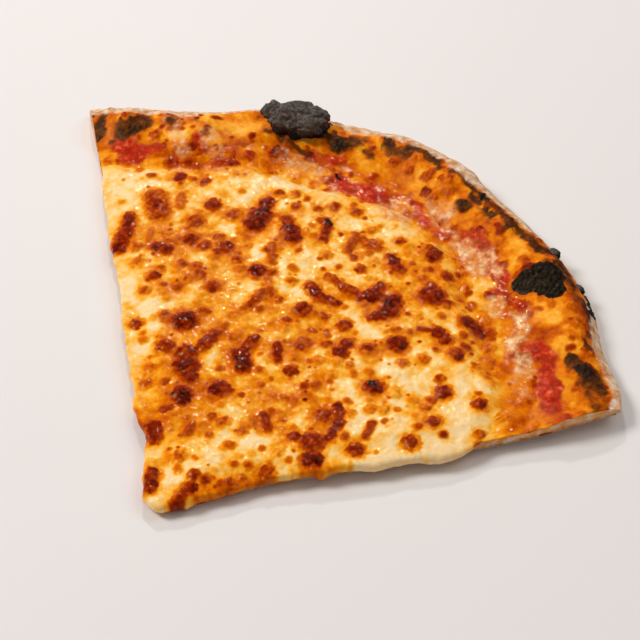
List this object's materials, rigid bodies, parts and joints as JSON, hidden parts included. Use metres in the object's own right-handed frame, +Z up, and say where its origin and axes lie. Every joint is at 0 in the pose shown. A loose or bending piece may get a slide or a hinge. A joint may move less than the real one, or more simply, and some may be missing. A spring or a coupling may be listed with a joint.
{
  "type": "cheese pizza slice",
  "caption": "Wide slice of thin wood-fired cheese pizza: a puffed, charred rim, a band of tomato sauce and browned melted cheese that rolls over the cuts, lying flat to be served.",
  "frame": {"origin": "under the middle of the slice's box, on the surface it lies on", "axes": "+X across the slice towards the cut that curls up, +Y from the tip to the crust along the middle of the slice, +Z up"},
  "size_m": [0.2414, 0.2002, 0.0187],
  "materials": {
    "baked_dough": "baked wheat dough, golden to brown with charred spots, pale and floury at the edge and below, dry and matt",
    "tomato_sauce": "cooked tomato sauce, red to deep red, moist with an oily sheen",
    "melted_cheese": "melted mozzarella, cream to golden with dark brown blisters, oily and glossy"
  },
  "bodies": {
    "root": {"crust": "baked_dough", "tomato_sauce": "tomato_sauce", "cheese": "melted_cheese"}
  },
  "joints": []
}
